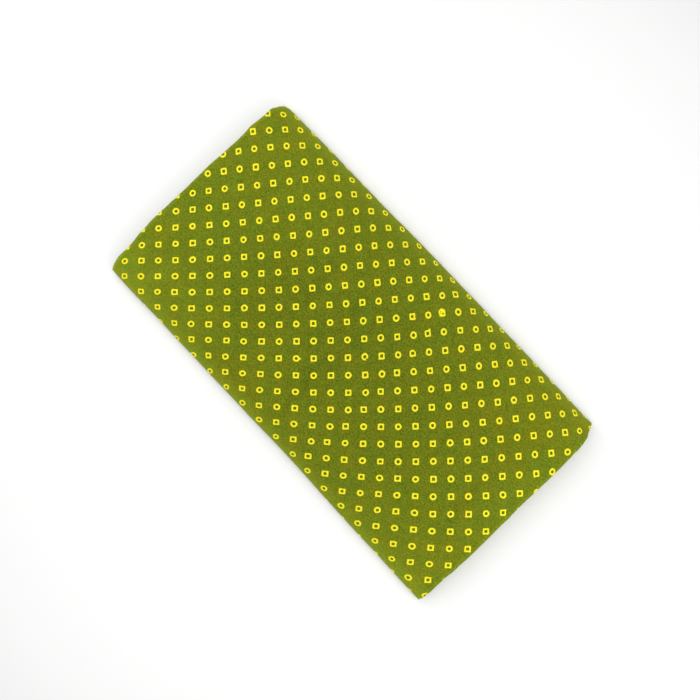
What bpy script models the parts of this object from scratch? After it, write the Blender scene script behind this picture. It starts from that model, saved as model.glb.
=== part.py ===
"""A printed cotton sari folded into a low, soft bundle.

One sheet goes back and forth through nested U-shaped plies. Every ply turns round at the spine, on the +Y
side. On the -Y side the plies are joined in pairs by tight folds, and the two outermost drape down over
the rest. The folds run along X, and the two short sides are the cut ends of every layer.

Metres, +Z up. The bundle lies on z = 0 and its origin is under the middle of its box.
"""

import math
from collections import namedtuple

import bmesh
import bpy

MM = 0.001

# Driving sizes of the bundle
LENGTH = 457 * MM
WIDTH = 243 * MM
CROWN_HEIGHT = 30 * MM

# The top is level between these two places and rounds down to a rim on both sides
CROWN_FROM_Y = -20 * MM
CROWN_TO_Y = 60 * MM
SPINE_ROUNDNESS = 2.0
EDGE_ROUNDNESS = 2.2
RIM_HEIGHT = 5 * MM
SPINE_UNDERCUT = 10 * MM

# The plies are nested round a flat core, which stops this far short of both rims
CORE_MARGIN = 14.5 * MM

# Share of each ply's room that is cloth, the rest being the gap to the next ply, and the share of the
# way from the core to the outline that the innermost ply leaves free
CLOTH_SHARE = 0.75
CORE_SHARE = 0.03

# Segments in the rounded parts of the outline and in a tight fold
ROUND_SEGMENTS = 10
UNDERCUT_SEGMENTS = 4
CROWN_SEGMENTS = 2
FOLD_SEGMENTS = 4
SHORTEST_STEP = 1.5 * MM

# Plan radius of the rounded corners at the cut ends
SPINE_CORNER = 9 * MM
EDGE_CORNER = 4 * MM

CLOTH_COLOR = (0.165, 0.202, 0.010, 1.0)
CLOTH_ROUGHNESS = 0.9
SMOOTH_ANGLE = math.radians(40)

# The plies from the outermost inwards: where the lower and upper layers of each end on the -Y side.
# Upper layers of plies 1-2, 3-4 and 5-6 and lower layers of plies 2-3 and 4-5 share a fold. The lower
# layers of the first and the last ply are the two ends of the sheet.
Ply = namedtuple("Ply", "lower_edge_y upper_edge_y")
PLIES = (
    Ply(-118.5 * MM, -121.3 * MM),
    Ply(-113.0 * MM, -121.3 * MM),
    Ply(-113.0 * MM, -112.0 * MM),
    Ply(-105.5 * MM, -112.0 * MM),
    Ply(-105.5 * MM, -103.0 * MM),
    Ply(-95.0 * MM, -103.0 * MM),
)

# Cross-sections along the bundle: place, and how high the edge's side and the spine's side stand there
# against the crown. The cut end at -X droops on the edge's side only.
Section = namedtuple("Section", "x edge_lift spine_lift")
SECTIONS = (
    Section(-LENGTH / 2, 0.85, 0.965),
    Section(-214 * MM, 0.93, 0.985),
    Section(-194 * MM, 0.985, 0.995),
    Section(-90 * MM, 1.00, 1.00),
    Section(20 * MM, 0.985, 0.99),
    Section(125 * MM, 1.00, 1.00),
    Section(205 * MM, 0.99, 0.995),
    Section(LENGTH / 2, 0.98, 0.97),
)

# The two lifts blend into each other between these places
BLEND_FROM_Y = -15 * MM
BLEND_TO_Y = 30 * MM


def clear_scene():
    for item in list(bpy.data.objects):
        bpy.data.objects.remove(item, do_unlink=True)


def round_off(share, roundness):
    """Height left on a rounded shoulder, 1 at its inner end and 0 at its rim."""
    return max(1.0 - share**roundness, 0.0) ** (1.0 / roundness)


def shoulder(y):
    """How far y lies out on its shoulder, from 0 to 1, and the roundness there."""
    if y > CROWN_TO_Y:
        return min((y - CROWN_TO_Y) / (WIDTH / 2 - CROWN_TO_Y), 1.0), SPINE_ROUNDNESS
    if y < CROWN_FROM_Y:
        return min((CROWN_FROM_Y - y) / (WIDTH / 2 + CROWN_FROM_Y), 1.0), EDGE_ROUNDNESS
    return 0.0, SPINE_ROUNDNESS


def top_height(y):
    """Height of the bundle's top at y."""
    share, roundness = shoulder(y)
    return RIM_HEIGHT + (CROWN_HEIGHT - RIM_HEIGHT) * round_off(share, roundness)


def shoulder_places(start_y, rim_y, roundness):
    """Places from the crown out to a rim, closer together towards the rim."""
    places = []
    for step in range(1, ROUND_SEGMENTS + 1):
        angle = step / ROUND_SEGMENTS * math.pi / 2
        places.append(start_y + (rim_y - start_y) * math.sin(angle) ** (2 / roundness))
    return places


def top_outline():
    """The bundle's top from the spine's rim over the crown to the edge's rim."""
    spine_side = shoulder_places(CROWN_TO_Y, WIDTH / 2, SPINE_ROUNDNESS)
    edge_side = shoulder_places(CROWN_FROM_Y, -WIDTH / 2, EDGE_ROUNDNESS)
    crown_step = (CROWN_FROM_Y - CROWN_TO_Y) / CROWN_SEGMENTS
    crown = [CROWN_TO_Y + crown_step * step for step in range(CROWN_SEGMENTS + 1)]
    places = spine_side[::-1] + crown + edge_side
    return [(y, top_height(y)) for y in places]


def bottom_outline():
    """The flat bottom, and the spine's rounding from it up to the rim."""
    flat_to_y = WIDTH / 2 - SPINE_UNDERCUT
    places = [y for y, _ in reversed(top_outline()) if y < flat_to_y - SHORTEST_STEP]
    outline = [(y, 0.0) for y in places]
    for step in range(UNDERCUT_SEGMENTS):
        angle = step / UNDERCUT_SEGMENTS * math.pi / 2
        y = flat_to_y + SPINE_UNDERCUT * math.sin(angle)
        outline.append((y, RIM_HEIGHT * (1.0 - math.cos(angle))))
    return outline


def ply_outline(ply):
    """The bundle's outline as far as one ply follows it, from its lower edge round to its upper edge."""
    lower = [p for p in bottom_outline() if p[0] > ply.lower_edge_y + SHORTEST_STEP]
    upper = [p for p in top_outline() if p[0] > ply.upper_edge_y + SHORTEST_STEP]
    start = (ply.lower_edge_y, 0.0)
    end = (ply.upper_edge_y, top_height(ply.upper_edge_y))
    return [start] + lower + upper + [end]


def lift_at(y, section):
    """How high the bundle stands at y in one cross-section. What it has sunk dies away towards the rims."""
    share = min(max((y - BLEND_FROM_Y) / (BLEND_TO_Y - BLEND_FROM_Y), 0.0), 1.0)
    eased = share * share * (3.0 - 2.0 * share)
    lift = section.edge_lift + (section.spine_lift - section.edge_lift) * eased
    return 1.0 - (1.0 - lift) * top_height(y) / CROWN_HEIGHT


def drawn_in(point, share, section):
    """A point of the outline drawn in towards the core, which lies half-way up the bundle.

    The bottom is drawn straight up there on the -Y side, where the layers end flat.
    """
    reach = WIDTH / 2 - CORE_MARGIN
    core_y = min(max(point[0], -reach), reach)
    core_z = top_height(core_y) / 2
    if point[1] == 0.0 and point[0] < 0.0:
        core_y = point[0]
    y = core_y + share * (point[0] - core_y)
    z = core_z + share * (point[1] - core_z)
    return y, z * lift_at(y, section)


def ply_faces(number, section):
    """Pairs of outer and inner points along one ply, from its lower to its upper edge."""
    room = (1.0 - CORE_SHARE) / (len(PLIES) - 1 + CLOTH_SHARE)
    outer = 1.0 - number * room
    inner = outer - CLOTH_SHARE * room
    outline = ply_outline(PLIES[number])
    return [(drawn_in(p, outer, section), drawn_in(p, inner, section)) for p in outline]


def fold_points(before, start, end, after):
    """Inner points of a round turn that carries on from before-start and runs into end-after."""
    reach = math.dist(start, end) * 2 / 3
    leave = math.dist(before, start)
    arrive = math.dist(after, end)
    first = [s + (s - b) * reach / leave for s, b in zip(start, before)]
    last = [e + (e - a) * reach / arrive for e, a in zip(end, after)]
    points = []
    for step in range(1, FOLD_SEGMENTS):
        t = step / FOLD_SEGMENTS
        weights = ((1 - t) ** 3, 3 * t * (1 - t) ** 2, 3 * t**2 * (1 - t), t**3)
        corners = zip(weights, (start, first, last, end))
        y, z = 0.0, 0.0
        for weight, corner in corners:
            y += weight * corner[0]
            z += weight * corner[1]
        points.append((y, z))
    return points


def section_points(section):
    """Both faces of the whole sheet across one section, from its outer end to its innermost end."""
    way = []
    for number in range(len(PLIES)):
        run = ply_faces(number, section)
        if number % 2 == 1:
            run = [(inner, outer) for outer, inner in reversed(run)]
        if way:
            sides = [fold_points(way[-2][s], way[-1][s], run[0][s], run[1][s]) for s in (0, 1)]
            way += list(zip(*sides))
        way += run
    return way


def corner_inset(y, x):
    """How far a cut end draws back at a rounded corner of the outline."""
    past_spine = y - (WIDTH / 2 - SPINE_CORNER)
    past_edge = -y - (WIDTH / 2 - EDGE_CORNER)
    if past_spine > 0.0:
        past, radius = past_spine, SPINE_CORNER
    elif past_edge > 0.0 and x < 0.0:
        past, radius = past_edge, EDGE_CORNER
    else:
        return 0.0
    return radius * (1.0 - math.sqrt(1.0 - 0.8 * min(past / radius, 1.0) ** 2))


def place_section(bm, section):
    """Vertices of one cross-section. Only the two cut ends draw back at the corners."""
    is_end = abs(section.x) > LENGTH / 2 - MM
    rows = []
    for pair in section_points(section):
        row = []
        for y, z in pair:
            inset = corner_inset(y, section.x) if is_end else 0.0
            x = section.x - math.copysign(inset, section.x)
            row.append(bm.verts.new((x, y, z)))
        rows.append(row)
    return rows


def build_sheet():
    bm = bmesh.new()
    sections = [place_section(bm, section) for section in SECTIONS]
    count = len(sections[0])
    for back, front in zip(sections, sections[1:]):
        for i in range(count - 1):
            for side in (0, 1):
                bm.faces.new((back[i][side], back[i + 1][side], front[i + 1][side], front[i][side]))
        for i in (0, count - 1):
            bm.faces.new((back[i][0], front[i][0], front[i][1], back[i][1]))
    for cut_end in (sections[0], sections[-1]):
        for here, there in zip(cut_end, cut_end[1:]):
            bm.faces.new((here[0], here[1], there[1], there[0]))
    bmesh.ops.recalc_face_normals(bm, faces=bm.faces[:])
    mesh = bpy.data.meshes.new("sari_cloth")
    bm.to_mesh(mesh)
    bm.free()
    return mesh


def cloth_material():
    material = bpy.data.materials.new("printed_cotton")
    material.use_nodes = True
    shader = material.node_tree.nodes["Principled BSDF"]
    shader.inputs["Base Color"].default_value = CLOTH_COLOR
    shader.inputs["Roughness"].default_value = CLOTH_ROUGHNESS
    shader.inputs["Metallic"].default_value = 0.0
    return material


def main():
    clear_scene()
    mesh = build_sheet()
    mesh.materials.append(cloth_material())
    mesh.shade_smooth()
    mesh.set_sharp_from_angle(angle=SMOOTH_ANGLE)
    cloth = bpy.data.objects.new("sari_cloth", mesh)
    bpy.context.collection.objects.link(cloth)


main()
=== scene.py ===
"""The looks of a folded printed cotton sari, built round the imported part.

One thin sheet, folded double, lies on the folds of the solid. Its print, weave and frayed cut ends are
made here, with a pale studio floor, soft lights and the camera.

Metres, +Z up, in the part's own frame: +X along the folds and +Y towards the rounded spine.
"""

import math
from collections import namedtuple

import bmesh
import bpy
from mathutils import Matrix, Vector, noise


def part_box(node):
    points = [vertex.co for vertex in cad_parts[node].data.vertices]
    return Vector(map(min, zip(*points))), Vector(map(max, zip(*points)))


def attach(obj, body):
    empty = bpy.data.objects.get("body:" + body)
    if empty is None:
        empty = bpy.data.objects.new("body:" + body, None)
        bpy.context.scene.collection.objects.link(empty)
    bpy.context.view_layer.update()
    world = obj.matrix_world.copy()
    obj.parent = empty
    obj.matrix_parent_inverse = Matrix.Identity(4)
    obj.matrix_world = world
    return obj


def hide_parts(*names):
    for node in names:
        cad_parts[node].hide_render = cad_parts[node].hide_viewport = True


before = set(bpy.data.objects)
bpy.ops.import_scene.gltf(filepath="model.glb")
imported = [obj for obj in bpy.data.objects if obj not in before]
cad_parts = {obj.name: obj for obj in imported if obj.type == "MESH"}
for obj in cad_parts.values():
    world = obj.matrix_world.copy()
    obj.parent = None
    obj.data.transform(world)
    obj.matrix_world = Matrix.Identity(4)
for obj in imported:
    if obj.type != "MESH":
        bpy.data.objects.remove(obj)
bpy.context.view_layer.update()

bl_info = {
    "name": "Folded printed sari",
    "version": (1, 0, 0),
    "blender": (4, 5, 0),
    "location": "View3D > Sidebar > Sari",
    "description": "Builds a folded printed cotton sari and a studio stage for it",
    "category": "Mesh",
}

NODE = "sari_cloth"
CLOTH_PIECE = "folded_sari"
THREAD_PIECE = "loose_threads"
FLOOR_PIECE = "studio_floor"

MM = 0.001


def table(kind, lengths, *rows):
    """Rows of one kind. The first so many values of each are lengths, written in millimetres."""
    return tuple(kind(*(value * MM for value in row[:lengths]), *row[lengths:]) for row in rows)


# Driving sizes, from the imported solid
LOW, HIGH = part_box(NODE)
LENGTH = HIGH.x - LOW.x
WIDTH = HIGH.y - LOW.y
CROWN_HEIGHT = HIGH.z - LOW.z

# The top is level between these two places and rounds down to a rim on both sides, a little more fully
# than the solid's does
CROWN_FROM_Y = -30 * MM
CROWN_TO_Y = 75 * MM
SPINE_ROUNDNESS = 2.0
EDGE_ROUNDNESS = 2.3
RIM_HEIGHT = 3 * MM
SPINE_UNDERCUT = 10 * MM
CORE_MARGIN = 14.5 * MM
CORE_SHARE = 0.03

# Segments of a shoulder, of the crown, of the undercut and of a tight fold. The outer layer has more. The
# handles of a fold's curve are this share of its width, which makes it about half round.
Segments = namedtuple("Segments", "shoulder crown undercut")
SKIN_SEGMENTS = Segments(24, 16, 8)
INNER_SEGMENTS = Segments(12, 4, 5)
FOLD_SEGMENTS = 6
FOLD_HANDLES = 2 / 3
SHORTEST_STEP = 1.5 * MM

# Layers of the folded solid, the outermost first: where the lower and upper one of each pair end on -Y
Ply = namedtuple("Ply", "lower_edge_y upper_edge_y")
PLIES = table(
    Ply,
    2,
    (-118.5, -121.3),
    (-116, -121.3),
    (-116, -119),
    (-110, -119),
    (-110, -109),
    (-102, -109),
)

# How the two cut ends sink: by which share of the height on the edge's side and on the spine's side
End = namedtuple("End", "side edge_sink spine_sink reach")
ENDS = (
    End(-1, 0.16, 0.035, 42 * MM),
    End(1, 0.02, 0.03, 30 * MM),
)
BLEND_FROM_Y = -15 * MM
BLEND_TO_Y = 30 * MM

# How large the soft hollows are, along and across the bundle
HOLLOW_LENGTH = 75 * MM
HOLLOW_WIDTH = 60 * MM

# How far the two cut ends lie inside a straight line at places across the bundle. They aren't quite square
# to the folds, they wave a little, and they round off at the corners.
EndPlace = namedtuple("EndPlace", "y left_inset right_inset")
CUT_LINE = table(
    EndPlace,
    3,
    (-121.5, 2.6, 1.4),
    (-116, 1.4, 0.5),
    (-110, 0.9, 0.7),
    (-92, 1.6, 1.1),
    (-75, 0.0, 0.4),
    (-55, -1.3, 0.1),
    (-10, -1, 1),
    (20, -0.8, 1.9),
    (45, 0.1, 1.6),
    (68, 0.2, 2.1),
    (80, -0.9, 2.5),
    (95, 0.1, 3),
    (106, -1.1, 4.7),
    (113, 1.1, 8.3),
    (118, 3.2, 9.6),
    (121.5, 8.5, 11.5),
)

# How far the two rims reach past a straight line at places along the bundle
RimPlace = namedtuple("RimPlace", "x edge_reach spine_reach")
RIM_LINE = table(
    RimPlace,
    3,
    (-228.5, 0.8, -0.4),
    (-200, 1.1, -0.1),
    (-150, 0.8, 0.2),
    (-80, 0.3, 0.1),
    (-30, -0.2, 1.1),
    (40, -0.7, 0.9),
    (100, 0.1, 0.4),
    (150, 0.8, 0.3),
    (200, 0.6, -0.3),
    (228.5, 0.9, -0.4),
)

# Soft creases of the outer skin, each from one place to another, with its half width. One with a depth
# below 0 stands up as a ridge.
Crease = namedtuple("Crease", "x y to_x to_y width depth")
CREASES = table(
    Crease,
    6,
    (-97, 118, -95, 74, 5, 0.4),
    (-113, 52, -110, 30, 5, 0.3),
    (-101, -24, -95, -10, 4, 0.35),
    (-70, 40, -64, 4, 7, 0.75),
    (-25, 42, -19, 8, 7, 0.6),
    (-19, 8, -36, -40, 5, 0.4),
    (-1, 42, 5, -28, 6, 0.5),
    (-6, -24, -4, -52, 5, 0.5),
    (-5, -50, 3, -94, 8, 0.65),
    (26, 64, 33, -4, 5, 0.35),
    (94, 48, 96, 18, 3.5, 0.35),
    (81, -12, 100, 3, 8, 0.4),
    (114, -20, 110, -44, 4, 0.45),
    (110, -44, 102, -62, 4, 0.35),
    (131, 0, 134, -26, 5, 0.45),
    (184, 18, 186, -10, 5, 0.5),
    (186, -10, 190, -42, 6, 0.8),
    (190, -42, 198, -76, 4, 0.35),
    (62, -94, 118, -91, 5, 0.4),
    (155, -98, 180, -95, 4, 0.35),
    (-190, 62, -185, 32, 3.5, 0.35),
    (-206, 20, -204, -30, 4, 0.3),
    (-215, 112, -209, 92, 6, 0.6),
    (-176, -96, -168, -88, 5, 0.5),
    (-80, -95, -71, -88, 5, 0.35),
    (15, -94, 31, -74, 4, -0.45),
    (3, -101, 12, -90, 4, -0.4),
    (-52, 22, -46, -6, 8, -0.3),
    (14, 8, 20, -30, 6, -0.25),
)

# By how much all creases are deepened, and the deepest that one may be, which keeps it within its ply
CREASE_STRENGTH = 1.3
DEEPEST_CREASE = 0.9 * MM

# How much further a crease fades past its ends than beside it, how far it wanders and over which lengths,
# and how much painted shade darkens the cloth for its depth
CREASE_FADE = 2.5
CREASE_WANDER = 2.2 * MM
CREASE_WAVES = (31 * MM, 17 * MM)
PAINTED_CREASE_SHADE = -0.13 / MM

# Soft patches where the dye is paler or greener than elsewhere, or with a minus darker or browner
Patch = namedtuple("Patch", "x y reach_x reach_y paler greener")
PATCHES = table(
    Patch,
    4,
    (-5, -10, 60, 120, -0.015, 0),
    (-75, 0, 55, 75, -0.025, 0.2),
    (214, 30, 22, 170, 0.05, 0.2),
    (-205, -108, 60, 26, 0.11, 0.7),
    (-220, 10, 40, 150, 0.04, 0),
    (-215, -12, 30, 34, -0.08, 0),
    (-215, -75, 32, 35, 0.03, 0),
    (-138, 62, 92, 68, 0.055, -0.3),
    (-150, -82, 85, 45, 0.065, 0.2),
    (-45, -86, 36, 30, 0.05, -0.4),
    (152, 84, 62, 46, 0.05, 0),
    (-95, 50, 130, 36, 0.07, 0),
    (-42, -52, 46, 36, 0.06, 0),
    (75, 56, 90, 40, 0.04, 0),
    (45, -116, 100, 20, -0.075, 0),
    (214, -112, 40, 24, 0.08, 0),
    (214, 78, 30, 26, -0.05, 0),
    (225, -105, 9, 8, -0.22, 0),
    (-185, -18, 95, 75, 0, 1.2),
    (216, 38, 24, 75, 0, 1.1),
    (222, -8, 16, 20, 0, 0.8),
    (165, 72, 75, 85, 0.01, -1.1),
    (192, 116, 60, 26, 0, -0.8),
    (-212, 112, 45, 26, 0, -0.9),
    (-55, -104, 36, 24, 0, -1.3),
    (38, -102, 45, 20, 0, -0.8),
    (-18, 38, 20, 15, 0, 1.0),
    (12, 66, 20, 20, 0, 1.0),
    (31, -2, 15, 34, 0, 0.9),
    (-3, 30, 40, 13, 0, 0.7),
    (-110, 8, 20, 11, 0, -1.1),
    (-135, 65, 36, 22, 0, 0.7),
)
PATCH_RAGGEDNESS = 0.35
PATCH_WAVE = 16 * MM

# How the print lies on the cloth. Columns of motifs run across the bundle and rows run along it. A row
# leans, bows and curls over the columns, and the other way round, as cloth pulled a little off its grain.
COLUMN_PITCH = 24.05 * MM
ROW_PITCH = 24.19 * MM
PRINT_FROM_X = 6.9 * MM
PRINT_FROM_ALONG = -9.5 * MM
COLUMN_LEAN = -1.95 * MM
COLUMN_BOW = -0.55 * MM
COLUMN_CURL = 0.032 * MM
COLUMN_SPREAD = -0.0016 * MM
COLUMN_SPLAY = -0.0024 * MM
COLUMN_DRAW = -0.0002 * MM
ROW_LEAN = 0.84 * MM
ROW_BOW = -0.025 * MM
ROW_CURL = 0.0026 * MM
ROW_FAN = 0.0035 * MM
ROW_CUP = -0.0004 * MM

# Rows further out than this one, on the hidden layers, are shifted no more than it is. Columns and rows
# depend on each other, and are worked out in this many rounds.
OUTERMOST_ROW = 6.0
PRINT_ROUNDS = 8

# Where the cloth and its print are pulled out of line, and how far
Pull = namedtuple("Pull", "x y reach_x reach_y shift_x shift_y")
PULLS = table(
    Pull,
    6,
    (-15, 103, 75, 45, 0, -1.3),
    (185, 75, 50, 75, 0, 0.9),
    (230, 65, 26, 75, 1.7, 0),
    (226, -120, 40, 28, 2.3, 0),
    (232, 97, 22, 22, 1.4, 0),
    (232, 33, 22, 26, 1.2, 0),
    (-230, -12, 26, 65, 1.8, 0),
    (-210, 62, 30, 32, -0.9, 0.5),
    (-222, -98, 80, 55, 0.5, 1.6),
    (-120, 124, 75, 16, 1.4, 0),
    (75, 102, 45, 25, 0.8, 0),
    (142, -82, 60, 42, -0.9, 0.6),
    (198, 124, 26, 16, -1.2, 0),
    (-93, -88, 25, 20, 0, 0.8),
    (12, 128, 50, 16, 0, -2),
    (58, -119, 80, 20, 0, -1.1),
    (216, -119, 36, 16, -0.9, -2.4),
    (-95, -123, 80, 16, 2.2, 0),
    (226, 88, 22, 18, 2, 0),
    (52, 124, 45, 14, 1.1, 0),
)

# How far the last motifs at the edge's rim are drawn out, and between which two places on the cloth
LAST_DRAW = 3.2 * MM
LAST_DRAW_PLACES = (119 * MM, 129 * MM)

# Where one print meets the next, in columns, and by how much the further one is out of line
JOIN_COLUMN = 1.75
JOIN_STEP_X = 1.77 * MM
JOIN_STEP_ALONG = 1.0 * MM

# Edges of the mesh steeper than this stay sharp
SMOOTH_ANGLE = math.radians(50)

# How far from y = 0 the outer skin's finer mesh reaches
SKIN_REACH = 128 * MM

# Distances of the mesh's columns from a cut end, before their even steps
END_STEPS = (0.0, 1 * MM, 2.5 * MM, 5 * MM, 8.5 * MM, 13 * MM, 19 * MM, 27 * MM)

# How far in from a cut end the cloth follows its outline, and by how much at most it is drawn in there. The
# rest is cut away.
CUT_REACH = 16 * MM
DRAWN_IN = 2.5 * MM

# Waves of the cut ends and of the two rims. What the rims do dies away towards the middle with this power
# of y, which has to be odd.
Wave = namedtuple("Wave", "height length")
CUT_WAVE = Wave(0.25 * MM, 9 * MM)
RIM_WAVE = Wave(0.35 * MM, 45 * MM)
RIM_POWER = 3

# Hidden plies stop short of the cut ends: over which length they are drawn in there, how long the waves are
# in which that differs along the sheet, and how long before its first fold the sheet starts to do so
SHORT_REACH = 14 * MM
SHORT_WAVE = 55 * MM
SHORT_START = 12 * MM

# Where in the noise each unevenness is read, so that none repeats another, and what makes it reach about 1
HOLLOWS_AT, CUTS_AT, RIMS_AT, CREASES_AT, PATCHES_AT, PLIES_AT = 3.7, 5.0, 8.1, 1.3, 6.0, 7.0
NOISE_SPAN = 1.6

# Each modelled ply ends as three thinner ones: how far they and the grooves between them reach past its
# corners, and where they lie in its thickness
Tooth = namedtuple("Tooth", "reach share")
TEETH = table(Tooth, 1, (0.25, 0.16), (-0.65, 0.33), (0.25, 0.50), (-0.65, 0.67), (0.25, 0.84))

# How the motifs are drawn. They stand on the diagonals between columns and rows.
MOTIF_PITCH = 17.05 * MM
SQUARENESS = 8.0
MOTIF_SHIFT = 0.25 * MM
WOBBLE = 0.9 * MM
WOBBLE_SIZE = 3.5 * MM
SMALLEST_MOTIF, LARGEST_MOTIF = 0.97, 1.03
INK_GRAIN = 0.25
HALO_WIDTH = 1.2 * MM
HALO_TINT = (0.99, 0.98, 0.32)
HOLE_TINT = (0.79, 0.75, 0.05)

# How uneven the dye is: how strongly, in patches of which size, and how finely they are broken up. The
# clouds and hues also make it browner or greener, over this span.
Dye = namedtuple("Dye", "strength size detail")
CLOUDS = Dye(0.34, 22 * MM, 2.0)
MOTTLE = Dye(0.48, 6 * MM, 2.0)
GRAIN = Dye(1.65, 1.7 * MM, 1.0)
HUES = Dye(0.8, 5 * MM, 2.0)
HUE_SPAN = 0.34
GREENER_SHIFT = -0.14

# How much paler painted light makes the cloth, and between which distances from the middle of the top,
# measured along the cloth: towards the ends and the sides, and as a painted sheen at the two rims. There it
# ends again past them.
PaintedLight = namedtuple("PaintedLight", "share start end")
PAINTED_LIGHT_ENDS = PaintedLight(0.115, 70 * MM, 240 * MM)
PAINTED_LIGHT_SIDES = PaintedLight(0.14, 50 * MM, 115 * MM)
PAINTED_SHEEN_EDGE = PaintedLight(0.41, 104 * MM, 126 * MM)
PAINTED_SHEEN_SPINE = PaintedLight(0.29, 104 * MM, 126 * MM)
PAST_RIMS = (136 * MM, 150 * MM)

# How much paler a painted highlight makes the cloth just before a cut end, and over which width
PAINTED_CUT_HIGHLIGHT = 0.26
PAINTED_CUT_HIGHLIGHT_WIDTH = 5 * MM

# The sides of the sheet in the order of its material slots: how pale the dyed ground is there and how
# strongly ink shows, unless the print is there in full
Side = namedtuple("Side", "name ground ink")
SIDES = (
    Side("Printed right side", None, None),
    Side("Reverse", 1.08, 0.45),
    # The cut edge is paler partly as its own colour and partly by the same painted highlight as the cloth
    # just before a cut end
    Side("Cut edge", 1.38, 0.32),
)
RIGHT_SIDE, REVERSE, CUT_EDGE = range(3)

# The cloth's surface: dull, with a soft sheen of its own colour and a fine relief of its threads
ROUGHNESS = 0.88
GRAIN_ROUGHNESS = 0.3
SPECULAR = 0.04
SHEEN = 0.3
SHEEN_ROUGHNESS = 0.5
SHEEN_TINT = (0.60, 0.66, 0.12, 1.0)
RELIEF_STRENGTH = 0.6
RELIEF_HEIGHT = 0.06 * MM

# Slubs, the thicker stretches of a thread: how large, how much longer than wide, and how high beside the
# weave's own relief
SLUB_SIZE = 0.8 * MM
SLUB_STRETCH = 14.0
SLUB_HEIGHT = 1.6

# Slips of the printing block: spots of ink, or bare spots, at places along the print's two diagonals from
# the motif in a column and row. One motif is printed twice, and a few have an extra spot or a nick.
Blot = namedtuple("Blot", "right down radius column row squareness inked")
BLOTS = table(
    Blot,
    3,
    (-0.6, -0.9, 3.5, 2.0, 4.0, 2.0, True),
    (0.6, 0.5, 0.9, 2.0, 4.0, 2.0, False),
    (-2.2, -0.1, 0.45, 2.0, 4.0, 2.0, False),
    (-1.6, -1.5, 0.45, 2.0, 4.0, 2.0, False),
    (-2.4, -3.6, 1.1, 2.0, 3.0, 2.0, False),
    (2.0, -2.9, 1.1, 2.0, 3.0, 4.0, True),
    (3.5, -3.2, 1.9, 2.0, 2.0, 2.0, False),
    (-3.4, -3.3, 1.5, 2.0, 2.0, 2.0, False),
    (1.9, 2.3, 0.9, 0.5, 0.5, 2.0, False),
    (3.9, 0.3, 0.8, -1.5, -1.5, 2.0, True),
)

# The loose threads: the settings that their tree takes, their shape, the fixed seed of their places, and
# how far the paler ones go from the ground's colour to the ink's, in patches of which size
THREAD_SIZES = ("Density", "Shortest", "Longest", "Radius", "Tilt")
THREAD_POINTS = 4
THREAD_SIDES = 3
THREAD_BEND = 0.35 * MM
THREAD_SEED = 7
THREAD_PALER = 0.25
THREAD_PATCH = 6 * MM
THREAD_PATCH_SPAN = (-0.1, 0.25)
THREAD_ROUGHNESS = 0.9

# The floor, and the lights round it, each with its share of the power set for it. The last two stand on
# both sides.
FLOOR_RADIUS = 3.0
FLOOR_SEGMENTS = 96
FLOOR_CLOUDS = Dye(0.02, 300 * MM, 1.0)
FLOOR_ROUGHNESS = 0.95
FLOOR_SPECULAR = 0.1
Lamp = namedtuple("Lamp", "place size share")
TOP_LAMP = Lamp((0.0, 0.0, 2.2), (2.0, 2.0), 1.0)
END_LAMP = Lamp((0.48, 0.0, 0.36), (0.4, 0.4), 1.0)
LONG_SIDE_LAMP = Lamp((0.0, 0.42, 0.36), (0.6, 0.4), 0.5)

# The camera, fitted to the photo's outline and print
AIM = Vector((0.00272, -0.00291, 0.028))
CAMERA_PLACE = Vector((0.1297, -0.01373, 1.35))
CAMERA_UP_TURN = math.radians(136.805)
CAMERA_UP = Vector((math.cos(CAMERA_UP_TURN), math.sin(CAMERA_UP_TURN), 0.0))


def number_setting(name, description, default, **kind):
    """A number that a user may change."""
    return bpy.props.FloatProperty(name=name, description=description, default=default, **kind)


def length_setting(name, description, default):
    """A length that a user may change."""
    return number_setting(name, description, default, unit="LENGTH")


def colour_setting(name, description, default):
    """A colour that a user may change."""
    return bpy.props.FloatVectorProperty(
        name=name, description=description, default=default, subtype="COLOR", size=3
    )


def smooth(value, start, end):
    """0 before start and 1 past end, with a soft change between."""
    share = min(max((value - start) / (end - start), 0.0), 1.0)
    return share * share * (3.0 - 2.0 * share)


def wander(*place):
    """Smooth noise from about -1 to 1 at a place given by up to three numbers."""
    return noise.noise(Vector((*place, 0.0, 0.0, 0.0)[:3])) * NOISE_SPAN


def patchy(*place):
    """The same from about 0 to 1."""
    return 0.5 + 0.5 * wander(*place)


def end_nearness(x, reach):
    """1 at a cut end, dying away to 0 over reach towards the middle."""
    return smooth(abs(x), LENGTH / 2 - reach, LENGTH / 2)


def between(start, end, share):
    """A place the given share of the way from start to end."""
    return tuple(a + (b - a) * share for a, b in zip(start, end))


class ClothSettings(bpy.types.PropertyGroup):
    """Sizes of the folded sheet."""

    layer_fill: number_setting(
        "Layer fill",
        "Share of each layer's room that its two plies and the gap between them take",
        0.92,
        min=0.5,
        max=0.96,
    )
    ply_share: number_setting(
        "Ply share",
        "Share of a layer's thickness that each of its two plies takes",
        0.455,
        min=0.2,
        max=0.48,
    )
    column_step: length_setting(
        "Column step", "Length of the mesh's faces along the bundle, away from the ends", 15 * MM
    )
    skin_step: length_setting(
        "Skin step", "The same for the outer skin, where it shows the creases", 3.75 * MM
    )
    unevenness: number_setting(
        "Unevenness", "Share of its height by which the bundle sinks in its soft hollows", 0.055
    )
    end_raggedness: length_setting(
        "End raggedness", "How far the hidden plies stop short of the cut ends, at most", 1.8 * MM
    )


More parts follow.
